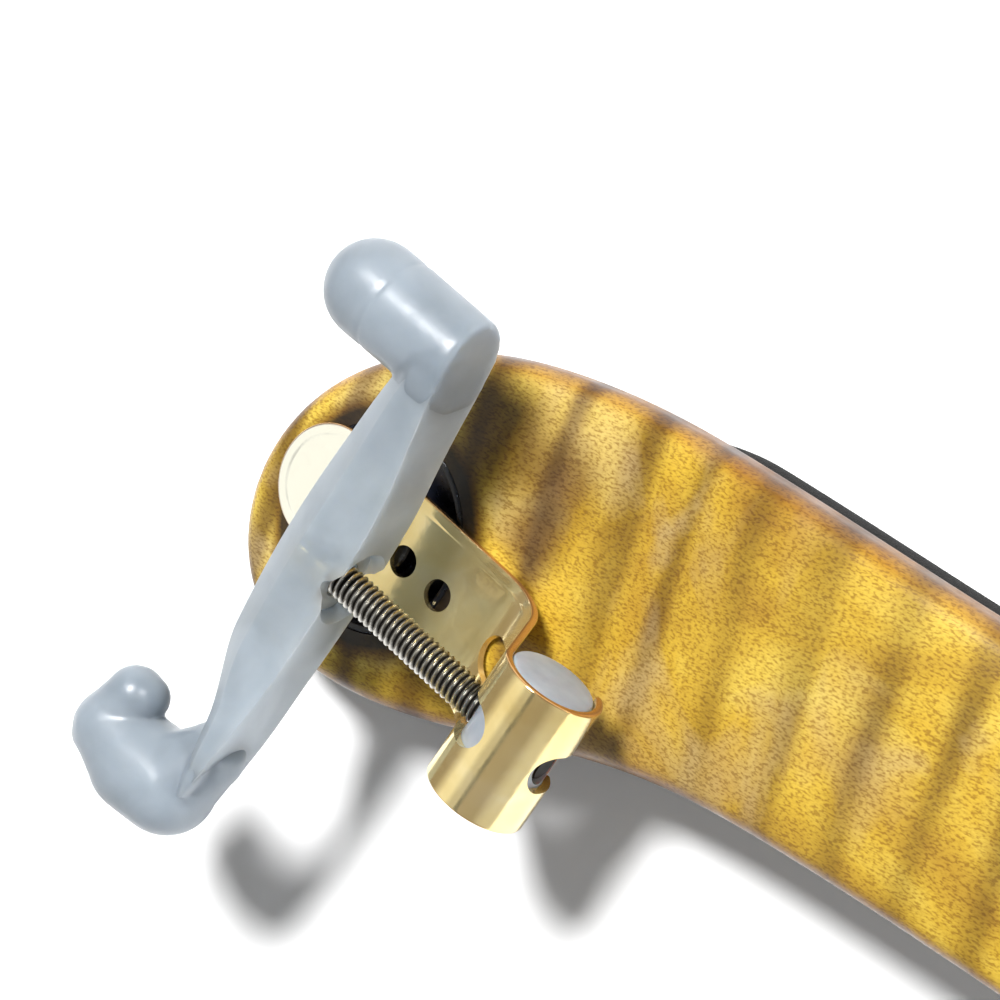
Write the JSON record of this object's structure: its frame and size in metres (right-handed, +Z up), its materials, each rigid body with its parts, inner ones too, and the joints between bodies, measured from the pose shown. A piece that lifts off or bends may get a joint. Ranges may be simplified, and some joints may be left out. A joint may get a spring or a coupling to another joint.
{
  "type": "violin shoulder rest",
  "caption": "Wooden shoulder rest for a violin: an arched bar with a foam pad, and swivelling gold brackets that carry threaded folding legs with clawed rubber forks.",
  "frame": {"origin": "middle of the rest, on the surface that the pad stands on", "axes": "+X along the bar from the chest end, which the picture shows, to the shoulder end; +Y across the bar; +Z up from the pad to the forks"},
  "size_m": [0.2138, 0.0806, 0.0371],
  "materials": {
    "maple": "satin lacquer over flamed maple",
    "backing": "matte black board",
    "foam": "open-cell black foam",
    "cup_black": "satin black plastic",
    "gold_plate": "bright gold plating",
    "steel": "bright threaded steel",
    "nylon": "smooth white nylon",
    "brass_insert": "plain brass",
    "clear_core": "milky translucent plastic",
    "clear_boot": "milky translucent soft rubber"
  },
  "bodies": {
    "frame": {"wood_body": "maple", "pad_backing": "backing", "foam_pad": "foam", "pivot_cup_chest": "cup_black", "tee_nut_chest": "steel", "spring_washer_chest": "steel", "pivot_screw_chest": "steel", "pivot_cup_shoulder": "cup_black", "tee_nut_shoulder": "steel", "spring_washer_shoulder": "steel", "pivot_screw_shoulder": "steel"},
    "bracket_chest": {"bracket_chest": "gold_plate"},
    "barrel_chest": {"nylon_barrel_chest": "nylon"},
    "stud_chest": {"leg_stud_chest": "steel"},
    "fork_chest": {"fork_core_chest": "clear_core", "thread_insert_chest": "brass_insert", "claw_boot_front_chest": "clear_boot", "claw_boot_rear_chest": "clear_boot"},
    "bracket_shoulder": {"bracket_shoulder": "gold_plate"},
    "barrel_shoulder": {"nylon_barrel_shoulder": "nylon"},
    "stud_shoulder": {"leg_stud_shoulder": "steel"},
    "fork_shoulder": {"fork_core_shoulder": "clear_core", "thread_insert_shoulder": "brass_insert", "claw_boot_front_shoulder": "clear_boot", "claw_boot_rear_shoulder": "clear_boot"}
  },
  "joints": [
    {"name": "bracket_swivel_chest", "type": "hinge", "parent": "frame", "child": "bracket_chest", "pos_m": [-0.086, -0.0021, 0.0158], "axis": [0, 0, 1], "range_deg": [-27, 63]},
    {"name": "leg_fold_chest", "type": "hinge", "parent": "bracket_chest", "child": "barrel_chest", "pos_m": [-0.05243, -0.01301, 0.02755], "axis": [0.309, 0.9511, 0], "range_deg": [-9, 54]},
    {"name": "leg_height_chest", "type": "slide", "parent": "barrel_chest", "child": "stud_chest", "axis": [-0.9458, 0.3073, 0.1045], "range_m": [-0.006, 0.004]},
    {"name": "fork_turn_chest", "type": "hinge", "parent": "stud_chest", "child": "fork_chest", "pos_m": [-0.08033, -0.00394, 0.03063], "axis": [-0.9458, 0.3073, 0.1045], "range_deg": [-14, 14]},
    {"name": "bracket_swivel_shoulder", "type": "hinge", "parent": "frame", "child": "bracket_shoulder", "pos_m": [0.086, 0.0021, 0.0158], "axis": [0, 0, 1], "range_deg": [-27, 63]},
    {"name": "leg_fold_shoulder", "type": "hinge", "parent": "bracket_shoulder", "child": "barrel_shoulder", "pos_m": [0.05243, 0.01301, 0.02755], "axis": [-0.309, -0.9511, 0], "range_deg": [-9, 54]},
    {"name": "leg_height_shoulder", "type": "slide", "parent": "barrel_shoulder", "child": "stud_shoulder", "axis": [0.9458, -0.3073, 0.1045], "range_m": [-0.006, 0.004]},
    {"name": "fork_turn_shoulder", "type": "hinge", "parent": "stud_shoulder", "child": "fork_shoulder", "pos_m": [0.08033, 0.00394, 0.03063], "axis": [0.9458, -0.3073, 0.1045], "range_deg": [-14, 14]}
  ]
}
